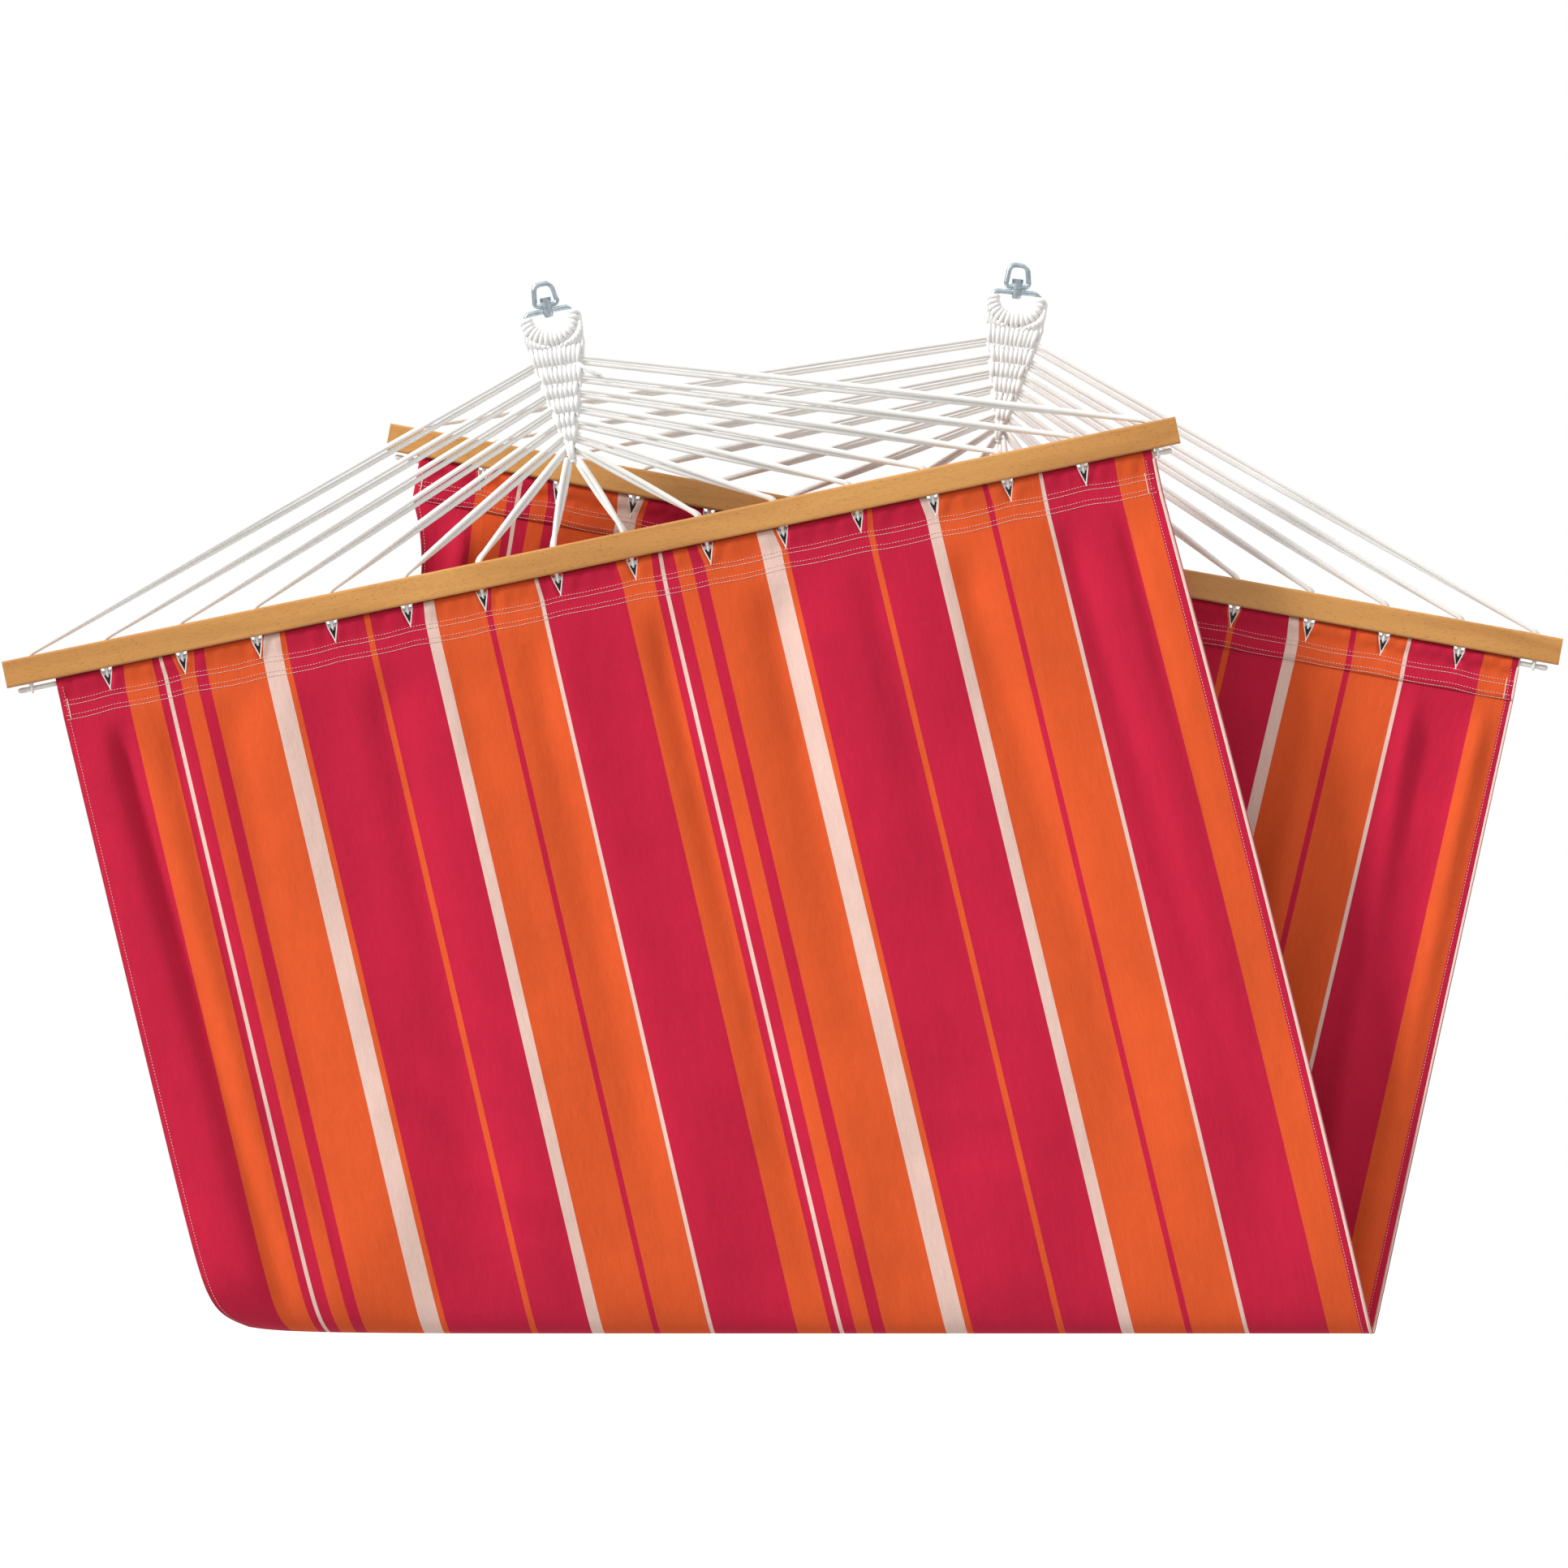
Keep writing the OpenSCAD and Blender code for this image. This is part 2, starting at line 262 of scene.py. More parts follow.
def dashes(shape, path, normals, stitch, gap, lift, r):
    """Adds a row of stitches along path, standing lift off the cloth."""
    far = np.concatenate([[0], np.cumsum(np.linalg.norm(np.diff(path, axis=0), axis=1))])
    for start in np.arange(0, far[-1] - stitch, stitch + gap):
        where = start + stitch * np.array([0, 0.5, 1])
        at = np.stack([np.interp(where, far, path[:, i]) for i in range(3)], -1)
        out = unit(np.stack([np.interp(where, far, normals[:, i]) for i in range(3)], -1))
        at += out * (lift * np.array([0.2, 1, 0.2]))[:, None]
        stitch_tube(shape, at, out[1], r)


def stitch_tube(shape, at, out, r):
    """One stitch: a four-sided spindle through three points."""
    ahead = unit(at[2] - at[0])
    side = np.cross(ahead, out)
    ring = np.array([side, out, -side, -out]) * r
    points = np.concatenate([at[0] + ring * 0.6, at[1] + ring, at[2] + ring * 0.6])
    j = np.arange(4)
    k = (j + 1) % 4
    faces = np.concatenate([np.stack([j + s, k + s, k + s + 4, j + s + 4], -1) for s in (0, 4)])
    ends = np.array([[3, 2, 1, 0], [8, 9, 10, 11]])
    faces = np.concatenate([faces, ends])
    shape.add(points, faces, np.zeros((len(faces), 4, 2)))


# ---- Materials ----


class Nodes:
    """A material's node tree, with its Principled shader and short ways to add to it."""

    def __init__(self, name, colour, roughness, **inputs):
        self.material = bpy.data.materials.new(name)
        self.material.use_nodes = True
        self.tree = self.material.node_tree
        self.shader = self.tree.nodes["Principled BSDF"]
        self.set("Base Color", colour)
        self.set("Roughness", roughness)
        for socket, value in inputs.items():
            self.set(socket.replace("_", " "), value)

    def set(self, socket, value):
        if isinstance(value, bpy.types.NodeSocket):
            self.tree.links.new(value, self.shader.inputs[socket])
        elif isinstance(value, tuple):
            self.shader.inputs[socket].default_value = (*value, 1)
        else:
            self.shader.inputs[socket].default_value = value

    def add(self, kind, out=0, settings=None, **inputs):
        """A new node's output. Inputs i0, i1 and so on are meant by their numbers."""
        node = self.tree.nodes.new(kind)
        for key, value in (settings or {}).items():
            setattr(node, key, value)
        for key, value in inputs.items():
            key = int(key[1:]) if key[0] == "i" and key[1:].isdigit() else key.replace("_", " ")
            if isinstance(value, bpy.types.NodeSocket):
                self.tree.links.new(value, node.inputs[key])
            else:
                node.inputs[key].default_value = value
        return node.outputs[out]

    def maths(self, operation, a, b=0.0, c=0.0):
        kind = {"operation": operation}
        return self.add("ShaderNodeMath", settings=kind, i0=a, i1=b, i2=c)

    def noise(self, where, scale, detail=3.0, roughness=0.5):
        return self.add("ShaderNodeTexNoise", Vector=where, Scale=scale, Detail=detail,
                        Roughness=roughness)

    def ramp(self, value, stops, interpolation="LINEAR"):
        """stops are (place, colour), and a colour is three linear numbers or one grey."""
        node = self.tree.nodes.new("ShaderNodeValToRGB")
        node.color_ramp.interpolation = interpolation
        elements = node.color_ramp.elements
        elements.remove(elements[1])
        for i, (place, colour) in enumerate(stops):
            element = elements[0] if i == 0 else elements.new(place)
            element.position = place
            rgb = colour if isinstance(colour, tuple) else (colour,) * 3
            element.color = (*rgb, 1)
        self.tree.links.new(value, node.inputs[0])
        return node.outputs[0]

    def mix(self, share, a, b, blend="MIX"):
        node = self.tree.nodes.new("ShaderNodeMix")
        node.data_type, node.blend_type = "RGBA", blend
        for socket, value in zip((node.inputs[0], node.inputs[6], node.inputs[7]), (share, a, b)):
            if isinstance(value, bpy.types.NodeSocket):
                self.tree.links.new(value, socket)
            elif isinstance(value, tuple):
                socket.default_value = (*value, 1)
            else:
                socket.default_value = value
        return node.outputs[2]

    def bump(self, height, distance, strength=1.0):
        self.set("Normal", self.add("ShaderNodeBump", Height=height, Distance=distance,
                                    Strength=strength))

    def along(self):
        """The Along UV map: its u and v sockets and the vector itself."""
        uv = self.add("ShaderNodeUVMap", settings={"uv_map": "Along"})
        split = self.add("ShaderNodeSeparateXYZ", Vector=uv).node
        return split.outputs[0], split.outputs[1], uv

    def in_object(self):
        return self.tree.nodes.new("ShaderNodeTexCoord").outputs["Object"]


CRIMSON, ORANGE, CREAM = (0.56, 0.010, 0.046), (0.75, 0.098, 0.020), (0.82, 0.57, 0.49)
# One repeat of the stripes, from the left: colour and width in millimetres
STRIPES = [
    (CRIMSON, 99.3), (ORANGE, 40.2), (CRIMSON, 10.5), (CREAM, 5.2), (CRIMSON, 13.8),
    (ORANGE, 20.3), (CRIMSON, 16.5), (ORANGE, 72.0), (CREAM, 24.0), (ORANGE, 7.8),
    (CRIMSON, 103.3), (ORANGE, 8.0), (CRIMSON, 68.1), (CREAM, 14.2), (ORANGE, 63.7),
    (CRIMSON, 7.0), (ORANGE, 61.8), (CREAM, 7.0),
]
REPEAT = sum(width for _, width in STRIPES) * MM
# How far into its first stripe the cloth's left edge is cut
CUT_AT = 14.8 * MM
WARP_PITCH, WEFT_PITCH = 1.1 * MM, 1.3 * MM


def cloth_material():
    """Plain-weave cotton, striped along its warp."""
    n = Nodes("striped_cloth", CRIMSON, 0.86, Sheen_Weight=0.08, Sheen_Roughness=0.5,
              Specular_IOR_Level=0.18)
    u, v, uv = n.along()
    stops, at = [], 0.0
    for colour, width in STRIPES:
        stops.append((at, colour))
        at += width * MM / REPEAT
    phase = n.maths("FRACT", n.maths("DIVIDE", u, REPEAT))
    stripes = n.ramp(phase, stops, "CONSTANT")
    warp = n.maths("SINE", n.maths("MULTIPLY", u, 2 * np.pi / WARP_PITCH))
    weft = n.maths("SINE", n.maths("MULTIPLY", v, 2 * np.pi / WEFT_PITCH))
    weave = n.maths("MULTIPLY", warp, weft)
    broad = n.noise(uv, 9.0, 4.0)
    fine = n.noise(uv, 900.0, 2.0, 0.7)
    slub = n.noise(n.add("ShaderNodeMapping", Vector=uv, Scale=(900.0, 30.0, 1.0)), 1.0, 2.0)
    shade = n.maths("MULTIPLY", n.ramp(broad, [(0.3, 0.90), (0.7, 1.0)]),
                    n.ramp(fine, [(0.25, 0.86), (0.75, 1.04)]))
    shade = n.maths("MULTIPLY", shade, n.ramp(slub, [(0.3, 0.93), (0.7, 1.03)]))
    shade = n.maths("MULTIPLY", shade, n.maths("MULTIPLY_ADD", weave, 0.05, 1.0))
    n.set("Base Color", n.mix(1.0, stripes, shade, "MULTIPLY"))
    wrinkles = n.noise(n.add("ShaderNodeMapping", Vector=uv, Scale=(1.0, 0.35, 1.0)), 30.0, 3.0)
    creases = n.noise(uv, 75.0, 3.0, 0.6)
    height = n.maths("MULTIPLY_ADD", wrinkles, 6.0, n.maths("MULTIPLY", weave, 0.12))
    height = n.maths("ADD", height, n.maths("MULTIPLY", creases, 1.2))
    height = n.maths("ADD", height, n.maths("MULTIPLY", fine, 0.3))
    n.bump(height, 0.6 * MM, 0.7)
    return n.material


def rope_material(name, colour, plaits=8, length=4.2 * MM):
    """White plaited rope: crossing rows of diamonds, plaits of them round the rope, with painted shade
    in the grooves between the diamonds.
    """
    n = Nodes(name, colour, 0.82, Sheen_Weight=0.3, Specular_IOR_Level=0.25)
    u, v, uv = n.along()
    round_it = n.maths("MULTIPLY", u, float(plaits))
    forward = n.maths("MULTIPLY_ADD", v, 1 / length, round_it)
    back = n.maths("MULTIPLY_ADD", v, -1 / length, round_it)
    waves = [n.maths("ABSOLUTE", n.maths("SINE", n.maths("MULTIPLY", w, np.pi)))
             for w in (forward, back)]
    plait = n.maths("MULTIPLY", *waves)
    yarn = n.noise(n.in_object(), 1400.0, 2.0, 0.7)
    soil = n.noise(n.in_object(), 22.0, 3.0)
    # Painted shade: the grooves between the plaits' diamonds are coloured darker, and yarn and soil
    # vary its brightness at random.
    groove_shade_and_tone = n.maths("MULTIPLY", n.ramp(plait, [(0.0, 0.93), (0.35, 1.0)]),
                   n.ramp(yarn, [(0.2, 0.94), (0.8, 1.02)]))
    groove_shade_and_tone = n.maths("MULTIPLY", groove_shade_and_tone, n.ramp(soil, [(0.3, 0.93), (0.7, 1.0)]))
    n.set("Base Color", n.mix(1.0, colour, groove_shade_and_tone, "MULTIPLY"))
    n.bump(n.maths("MULTIPLY_ADD", yarn, 0.15, plait), 0.35 * MM, 0.3)
    return n.material


def thread_material(name, colour):
    n = Nodes(name, colour, 0.7, Sheen_Weight=0.3)
    twist = n.noise(n.in_object(), 2500.0, 2.0)
    n.set("Base Color", n.mix(1.0, colour, n.ramp(twist, [(0.3, 0.8), (0.7, 1.0)]), "MULTIPLY"))
    n.bump(twist, 0.1 * MM)
    return n.material


def beech_material(end):
    """Varnished steamed beech, its grain along the end's bar."""
    n = Nodes(f"beech_{end}", (0.56, 0.27, 0.06), 0.42, Coat_Weight=0.35, Coat_Roughness=0.22)
    right = BAR[end].right
    tilt = float(np.arctan2(right[2], right[0]))
    lined_up = n.add("ShaderNodeVectorRotate", settings={"rotation_type": "Y_AXIS"},
                     Vector=n.in_object(), Angle=tilt)

    def grain(scale, stretch, detail=3.0, distort=0.0):
        where = n.add("ShaderNodeMapping", Vector=lined_up,
                      Scale=(scale / stretch, scale, scale))
        return n.add("ShaderNodeTexNoise", Vector=where, Scale=1.0, Detail=detail,
                     Distortion=distort)

    bands = grain(28.0, 9.0, 4.0, 0.6)
    pores = grain(1100.0, 12.0, 2.0)
    flecks = grain(950.0, 4.0, 1.0)
    glow = grain(7.0, 2.0)
    colour = n.ramp(bands, [(0.3, (0.44, 0.185, 0.036)), (0.5, (0.54, 0.245, 0.054)),
                            (0.7, (0.61, 0.295, 0.072))])
    colour = n.mix(n.ramp(pores, [(0.52, 0.0), (0.72, 0.45)]), colour, (0.36, 0.15, 0.035))
    colour = n.mix(n.ramp(flecks, [(0.66, 0.0), (0.73, 0.7)]), colour, (0.19, 0.075, 0.02))
    colour = n.mix(n.ramp(glow, [(0.35, 0.0), (0.7, 0.25)]), colour, (0.66, 0.34, 0.09))
    n.set("Base Color", colour)
    n.set("Roughness", n.ramp(pores, [(0.3, 0.36), (0.7, 0.52)]))
    height = n.maths("MULTIPLY_ADD", flecks, -0.5, n.maths("MULTIPLY", pores, -0.7))
    n.bump(height, 0.15 * MM, 0.6)
    return n.material


def zinc_material(name, tint, roughness):
    n = Nodes(name, tint, roughness, Metallic=1.0)
    where = n.in_object()
    patch, grit = n.noise(where, 160.0, 4.0, 0.6), n.noise(where, 2200.0, 2.0)
    n.set("Base Color", n.mix(n.ramp(patch, [(0.4, 0.0), (0.68, 0.8)]), tint,
                              (0.33, 0.39, 0.43)))
    n.set("Roughness", n.ramp(patch, [(0.3, roughness - 0.08), (0.7, roughness + 0.14)]))
    n.bump(n.maths("MULTIPLY_ADD", grit, 0.3, patch), 0.12 * MM, 0.5)
    return n.material


CLOTH = cloth_material()
ROPE = rope_material("white_rope", (0.88, 0.86, 0.82))
KNOTTED = rope_material("clew_rope", (0.90, 0.89, 0.87), 6, 3.6 * MM)
THREAD = thread_material("pale_thread", (0.86, 0.62, 0.58))
PIPING = thread_material("white_piping", (0.84, 0.76, 0.72))
BINDING = thread_material("cream_binding", (0.88, 0.60, 0.52))
ROLLED = thread_material("crimson_edge", (0.40, 0.010, 0.035))
# A near-black sheet in each slit, which stands in for the shade inside the hem: painted shade.
SLIT_SHADE = thread_material("painted_slit_shade", (0.030, 0.018, 0.016))
ZINC = zinc_material("zinc_plate", (0.60, 0.68, 0.73), 0.24)
PIN_ZINC = zinc_material("zinc_pin", (0.52, 0.59, 0.64), 0.3)


# ---- Ropes ----


CLEW_TAPER = 0.232


def clew_half_width(height):
    return 4 * MM + CLEW_TAPER * height


def rope_starts(row, side):
    """Where a loop's two strands leave the clew: to the right of its tip, and down from there."""
    if row == len(ROW_HEIGHTS) - 1:
        return [(side * 4.6 * MM + s * 2.6 * MM, 2 * MM) for s in (side, -side)]
    if row == len(ROW_HEIGHTS) - 2:
        return [(side * 6.5 * MM, -ROW_HEIGHTS[row] + s * 2.4 * MM + 3 * MM) for s in (-1, 1)]
    out, apart = clew_half_width(ROW_HEIGHTS[row]) - 6 * MM, 3.9 * MM
    return [(side * out, -ROW_HEIGHTS[row] + s * apart) for s in (-1, 1)]


def rope_path(end, k):
    """From the clew, down through hole k, round the hem cord and back up to the clew. The two
    strands keep clear of each other in the hole and bow apart a little on their way to it."""
    side = -1 if k <= HOLES // 2 else 1
    row = k - 1 if side < 0 else HOLES - k
    clew, bar = CLEW[end], BAR[end]
    half_gap, bow, bend, loop_r = 3.4 * MM, 1.9 * MM, 7 * MM, 4.6 * MM
    ways = []
    for (a, d), way in zip(rope_starts(row, side), (-1, 1)):
        top = clew.point(a, way * 1.6 * MM, d)
        to_clew = (way * 1.2 - 2.6) * side * MM
        mouth = bar.point(hole_at(k) + to_clew, way * half_gap, -BAR_HEIGHT / 2 - 1.5 * MM)
        under = bar.point(hole_at(k), way * half_gap, BAR_HEIGHT / 2 - 1 * MM)
        path = rounded([top, mouth, under], bend)
        far = np.linalg.norm(path - top, axis=1) / np.linalg.norm(mouth - top)
        across = unit(np.cross(unit(mouth - top), np.array([0, 1.0, 0])))
        down = across if across[2] < 0 else -across
        ways.append(path + (way * bow * np.sin(np.pi * np.clip(far, 0, 1)))[:, None] * down)
    turn = np.radians(np.arange(0, 181, 20))
    loop = bar.point(hole_at(k), -loop_r * np.cos(turn), CORD_DROP + loop_r * np.sin(turn))
    front, back = ways[0], ways[1][::-1]
    return np.concatenate([front, loop, back]), len(front), len(loop)


def make_ropes():
    """The net's loops. A rope is drawn thin where it goes round the cord."""
    thin, squeezed = 1.6 * MM, 2.9 * MM
    for end in ENDS:
        for k in range(1, HOLES + 1):
            path, n, m = rope_path(end, k)
            radius = np.full(len(path), ROPE_R)
            radius[n : n + m] = thin
            radius[n - 1] = radius[n + m] = squeezed
            shape = Shape()
            tube(shape, path, radius, 12)
            rope = shape.make(f"{end}_rope_{k:02d}", ROPE)
            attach(rope, f"{end}_net")
            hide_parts(f"{end}_rope_loop_{k:02d}")


# ---- Clews ----


CLEW_TOP = 141 * MM
# The woven ropes' bands end just under the rows where the net's ropes leave
BAND_ENDS = np.concatenate([[CLEW_TOP], ROW_HEIGHTS[:-2] - 5 * MM, [-5 * MM]])


def add_band(shape, clew, i, high, low, rng):
    """One band of the clew: ropes that bulge out on both faces over a rope across its foot."""
    t = np.linspace(0, 1, 11)
    arch, lap, sunk = np.sin(np.pi * t), 1.2 * MM, 2.4 * MM
    width = clew_half_width((high + low) / 2) - 2.4 * MM
    count = max(2, round(2 * width / (5.7 * MM)))
    for j in range(count):
        for face in (-1, 1):
            shift = 0.25 if (i + (face > 0)) % 2 else -0.25
            place = ((j + 0.5 + shift) / count * 2 - 1) * width
            slant = rng.uniform(0.4, 2.2) * MM * (1 if i % 2 else -1)
            narrowing = place * CLEW_TAPER * (high - low) / max(width, 5 * MM)
            a = place + slant * (t - 0.5) + narrowing * (0.5 - t)
            bulge = rng.uniform(7.2, 7.8) * MM * arch**0.7 - sunk
            d = -(high + lap - t * (high - low + 2 * lap)) + rng.uniform(-0.6, 0.6) * MM
            radius = rng.uniform(3.3, 3.6) * MM * (0.55 + 0.45 * arch**0.5)
            tube(shape, clew.point(a, face * bulge, d), radius, 9)
    cross = np.linspace(-1, 1, 7) * (width + 1 * MM)
    tube(shape, clew.point(cross, 0.0, -low), 2.0 * MM, 8)


def add_sides(shape, clew):
    """The rope down each side of the clew, which bows out from row to row."""
    for side in (-1, 1):
        for high, low in zip(BAND_ENDS[:-2], BAND_ENDS[1:-1]):
            h = np.linspace(high + 3 * MM, low - 2 * MM, 9)
            bow = 2.4 * MM * np.sin(np.linspace(0, np.pi, 9))
            a = side * (clew_half_width(h) - 3.4 * MM + bow)
            tube(shape, clew.point(a, -0.6 * MM, -h), 2.7 * MM, 8)


def make_weave(end, rng):
    """The clew's ropes, in bands between the rows that cross under them."""
    clew, shape = CLEW[end], Shape()
    for i, (high, low) in enumerate(zip(BAND_ENDS, BAND_ENDS[1:])):
        add_band(shape, clew, i, high, low, rng)
    add_sides(shape, clew)
    if end == "front":
        add_frayed_tail(shape, clew, rng)
    weave = shape.make(f"{end}_clew_weave", KNOTTED)
    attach(weave, f"{end}_net")
    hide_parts(f"{end}_clew")


def add_frayed_tail(shape, clew, rng):
    """The cut end of the clew's rope, which sticks out at its right side. Its places are in
    millimetres to the right of the clew's tip, away from the camera and up."""
    root, middle, tip = (24, -3, 114), (33, -5, 107), (44, -5, 98)
    a, y, h = np.array([root, middle, tip]).T * MM
    path = rounded(clew.point(a, y, -h), 8 * MM, 4 * MM)
    tube(shape, path, np.linspace(3.1, 2.5, len(path)) * MM, 10)
    for _ in range(30):
        spread = rng.uniform(-1, 1, 3) * 1.9 * MM
        start = path[-1] + spread * 0.8
        away = (clew.right * 5 + clew.down * 4) * MM + spread * 1.2
        tube(shape, [start, start + away * 0.5, start + away], 0.3 * MM, 4)


RING_HALF, RING_BASE, RING_CORNER, RING_WIRE_R = 28.8 * MM, 63.4 * MM, 25 * MM, 3.4 * MM


def ring_wire(far):
    """Where far along the ring's lower wire from its middle is, and which way is out of the ring."""
    flat, turn = RING_HALF - RING_CORNER, RING_CORNER * np.pi / 2
    side, far = np.sign(far) or 1.0, abs(far)
    if far < flat:
        return side * far, RING_BASE, 0.0, 1.0
    angle = min(1.0, (far - flat) / turn) * np.pi / 2
    up = max(0.0, far - flat - turn)
    a = flat + RING_CORNER * np.sin(angle)
    d = RING_BASE - RING_CORNER * (1 - np.cos(angle)) - up
    return side * a, d, side * np.sin(angle), np.cos(angle)


# Where the ropes from the ring go into the clew
HEAD_FOOT = CLEW_TOP - 2 * MM


def add_hitches(shape, swivel, clew, rng):
    """Ropes that go over the ring's wire, lie close under it and bulge on their way down."""
    count, reach = 16, 43 * MM
    over = RING_WIRE_R + 2.7 * MM
    turn = np.radians(np.arange(-90, 91, 22.5))
    for j in range(count):
        share = j / (count - 1) * 2 - 1
        a, d, out_a, out_d = ring_wire(share * reach)
        inward = np.cos(turn) * over
        loop = swivel.point(a - out_a * inward, np.sin(turn) * over, d - out_d * inward)
        legs = []
        for face in (-1, 1):
            near = swivel.point(a + out_a * 4 * MM, face * 6.4 * MM, d + out_d * 4 * MM)
            groove = swivel.point(a + out_a * 9 * MM, face * 1.4 * MM, d + out_d * 8 * MM + 4 * MM)
            foot = clew.point(share * (clew_half_width(HEAD_FOOT) - 3 * MM), face * 0.5 * MM,
                              -HEAD_FOOT)
            bulge = (groove + foot) / 2
            room = np.linalg.norm(groove - foot)
            bulge[1] = clew.at[1] + face * min(5.4 * MM, 1.5 * MM + 0.45 * room)
            legs.append(rounded([foot, bulge, groove, near, loop[0 if face < 0 else -1]],
                                4 * MM, 3 * MM))
        path = np.concatenate([legs[0][:-1], loop, legs[1][-2::-1]])
        away = np.abs(path[:, 1] - clew.at[1])
        path += rng.uniform(-0.25, 0.25, 3) * MM
        tube(shape, path, 2.5 * MM + 0.2 * np.clip(away, 0, 5 * MM), 9)


def add_shoulders(shape, swivel, clew):
    """The two ropes that come down each upright side of the ring and turn in to the clew."""
    for side in (-1, 1):
        for y in (-2.4 * MM, 2.6 * MM):
            top = swivel.point(side * (RING_HALF - 2 * MM), y * 1.6, RING_BASE - 20 * MM)
            arm = swivel.point(side * (RING_HALF + 4 * MM), y, RING_BASE - 14 * MM)
            waist = swivel.point(side * (RING_HALF + 5 * MM), y, RING_BASE + 4 * MM)
            foot = clew.point(side * (clew_half_width(CLEW_TOP) - 1 * MM), y * 0.6, -HEAD_FOOT)
            inner = clew.point(side * (clew_half_width(HEAD_FOOT) - 6 * MM), 0.0,
                               -(HEAD_FOOT - 8 * MM))
            tube(shape, rounded([top, arm, waist, foot, inner], 10 * MM, 5 * MM), 3 * MM, 9)


def make_head(end, rng):
    """The ropes from the ring down into the clew."""
    swivel, clew, shape = SWIVEL[end], CLEW[end], Shape()
    add_hitches(shape, swivel, clew, rng)
    add_shoulders(shape, swivel, clew)
    head = shape.make(f"{end}_clew_head", KNOTTED)
    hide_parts(f"{end}_ring_hitches")
    hinge = np.linalg.norm(joint_at(f"{end}_clew_flex") - swivel.at)
    start = swivel.point(0, 0, hinge - 8 * MM)
    swivel.point(0, 0, hinge + 12 * MM)
    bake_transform(head)


# ---- Cloth ----


def hem_along(end, flat):
    return np.interp(flat, FLAT_PLACES, HEM_PLACES[end])


def slit_flats(end):
    """Where the slits are across the flat cloth, one at each hole but the end ones."""
    holes = [hole_at(k) for k in range(2, HOLES)]
    return np.interp(holes, HEM_PLACES[end], FLAT_PLACES)


def slit_opening(d):
    return SLIT_HALF * np.clip((SLIT_END - d) / (SLIT_END - BAR_HEIGHT / 2), 0, 1)


def slit_push(end, flat, side, d):
    """How far the slits push the cloth along the hem. side is -1 or 1 on a slit's own edges."""
    spread = 20 * MM
    here = hem_along(end, flat)
    opening = slit_opening(d)
    push = np.zeros(np.broadcast(here, d).shape)
    for slit in slit_flats(end):
        away = here - hem_along(end, slit)
        way = np.where(np.abs(away) < 1e-6, side, np.sign(away))
        push = push + way * opening * np.exp(-np.abs(away) / spread)
    return push


def pleats(end, flat, d):
    """Small gathers under the bar, outward. They are strongest beside the slits and at the edges,
    and fade down the cloth."""
    deep, long_pitch, short_pitch, beside = 1.5 * MM, 36.5 * MM, 23.5 * MM, 24 * MM
    here = flat + (0.31 if end == "rear" else 0.0)
    fine = np.sin(here * 2 * np.pi / short_pitch + 2 * np.sin(here * 9)) + 0.7 * np.sin(
        here * 2 * np.pi / long_pitch + 1.3
    )
    near = np.zeros(np.shape(flat))
    for place in [*slit_flats(end), 0.02, FLAT_WIDTH - 0.03]:
        near = near + np.exp(-((flat - place) ** 2) / (2 * beside**2))
    strong = 0.3 + 0.7 * np.clip(near, 0, 1)
    fade = smooth((54 * MM - d) / (26 * MM)) * smooth((d - 17 * MM) / (7 * MM))
    return np.minimum(strong * (fine + 1.2) * deep * fade, GATHER_REACH - layer_out(d))


# Long grooves down the hanging cloth: place across at the hem, how far it leans per metre of the way
# down, half width, depth in millimetres, and how far down it fades
GROOVES = {
    "front": [
        (0.062, 0.055, 0.013, 12, 1.1),
        (0.125, 0.02, 0.012, 5, 0.9),
        (0.21, -0.04, 0.020, 4, 0.5),
        (0.405, -0.03, 0.026, 9, 0.8),
        (0.50, 0.06, 0.018, 3, 0.5),
        (0.60, 0.0, 0.022, 7, 0.9),
        (0.76, 0.01, 0.016, 8, 1.2),
        (0.905, -0.03, 0.024, 7, 0.8),
        (1.03, 0.03, 0.02, 4, 0.5),
        (1.15, 0.07, 0.022, 8, 0.9),
        (1.285, 0.06, 0.016, 6, 0.7),
        (1.365, 0.02, 0.012, 6, 0.4),
    ],
    "rear": [
        (0.07, 0.05, 0.014, 8, 0.6),
        (0.17, 0.03, 0.02, 6, 0.6),
        (0.45, 0.03, 0.03, 6, 0.6),
        (0.80, 0.0, 0.025, 6, 0.8),
        (1.02, -0.02, 0.02, 6, 0.6),
        (1.17, 0.03, 0.02, 7, 0.8),
        (1.29, 0.05, 0.014, 7, 0.9),
        (1.385, 0.01, 0.012, 6, 1.0),
    ],
}
# Slanting wrinkles low on the front: place across, distance down, half length and half width, which
# way they run (0 is to the right, 90 is down), and depth in millimetres
WRINKLES = [
    (0.33, 0.50, 0.10, 0.014, 62, 6),
    (0.36, 0.60, 0.09, 0.012, 40, 5),
    (0.47, 0.55, 0.08, 0.013, 50, 5),
    (0.44, 0.72, 0.09, 0.014, 28, 6),
    (0.69, 0.45, 0.10, 0.013, 55, 5),
    (0.74, 0.70, 0.07, 0.012, 48, 6),
    (0.90, 0.60, 0.12, 0.016, 34, 6),
    (0.97, 0.48, 0.09, 0.013, 58, 5),
    (1.02, 0.74, 0.10, 0.014, 20, 6),
    (1.20, 0.66, 0.10, 0.014, 62, 5),
    (0.17, 0.60, 0.10, 0.012, 75, 5),
    (1.31, 0.80, 0.07, 0.012, 50, 5),
]


def wrinkles(flat, down):
    """Depths of the slanting wrinkles in millimetres, negative. Each one bends a little."""
    dips = 0.0
    for across, low, long, wide, angle, deep in WRINKLES:
        ahead = np.array([np.cos(np.radians(angle)), np.sin(np.radians(angle))])
        along = (flat - across) * ahead[0] + (down - low) * ahead[1]
        beside = (flat - across) * ahead[1] - (down - low) * ahead[0] + 0.08 * along**2 / long
        dips = dips - deep * np.exp(-((along / long) ** 2) - (beside / wide) ** 2)
    return dips


